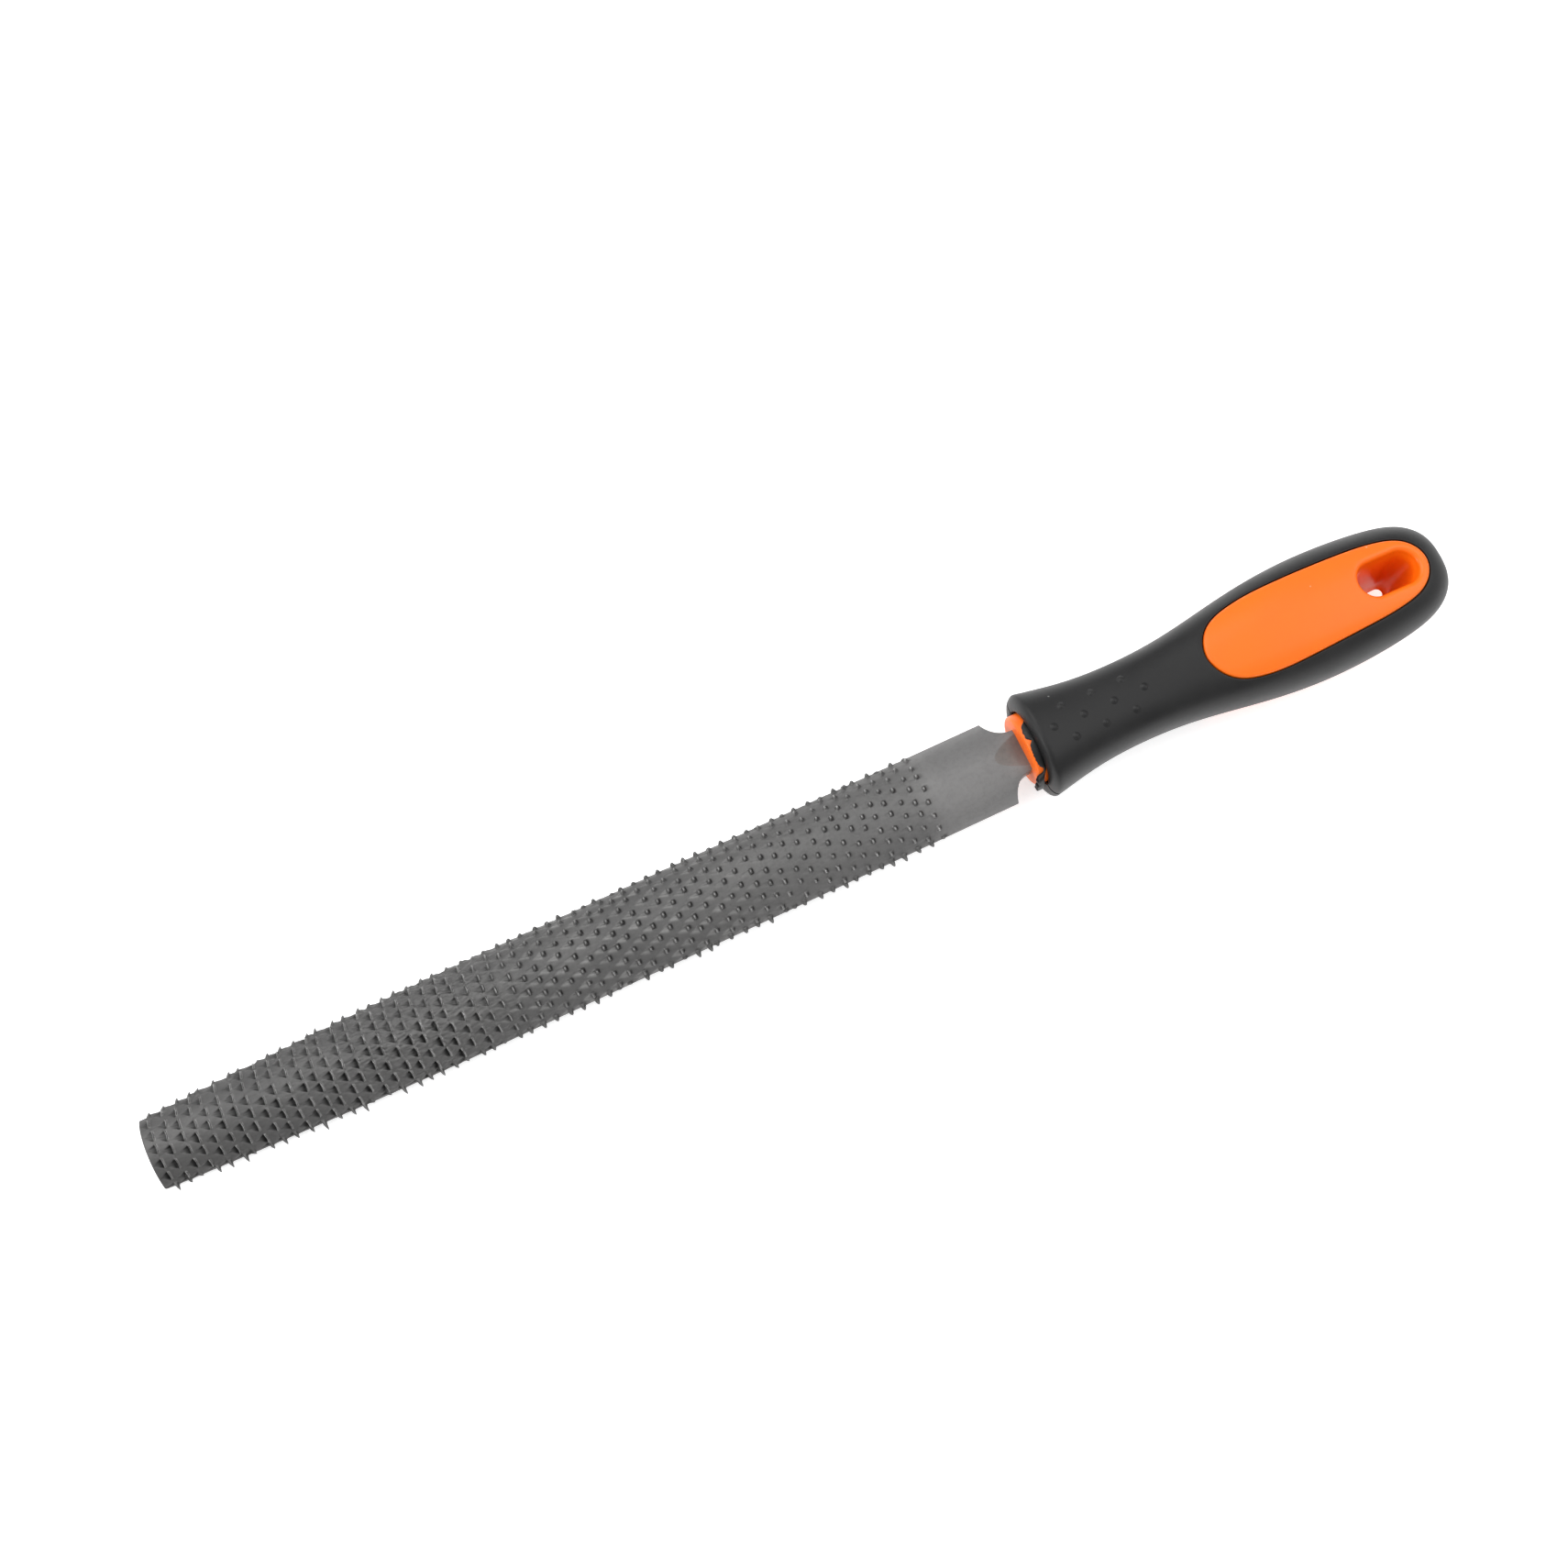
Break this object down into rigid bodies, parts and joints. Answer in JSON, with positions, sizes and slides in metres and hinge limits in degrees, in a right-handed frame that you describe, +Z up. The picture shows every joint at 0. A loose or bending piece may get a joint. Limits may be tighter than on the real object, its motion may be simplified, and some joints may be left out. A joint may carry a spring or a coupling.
{
  "type": "half-round wood rasp",
  "caption": "Half-round steel wood rasp with raised teeth on both sides, a smooth heel, a tang and a two-tone overmoulded handle with a hang slot.",
  "frame": {"origin": "bottom centre of the tool's bounding box, on the surface that it rests on", "axes": "+X along the tool from the blade's tip to the end of the handle, +Z up out of the round side of the blade, +Y across the blade to the left of someone looking along +X"},
  "size_m": [0.3118, 0.0284, 0.0254],
  "materials": {
    "steel": "dull satin, untreated carbon steel",
    "core_plastic": "semi-gloss moulded plastic, orange",
    "grip_rubber": "satin thermoplastic rubber, near black"
  },
  "bodies": {
    "root": {"blade": "steel", "handle_core": "core_plastic", "grip": "grip_rubber"}
  },
  "joints": []
}
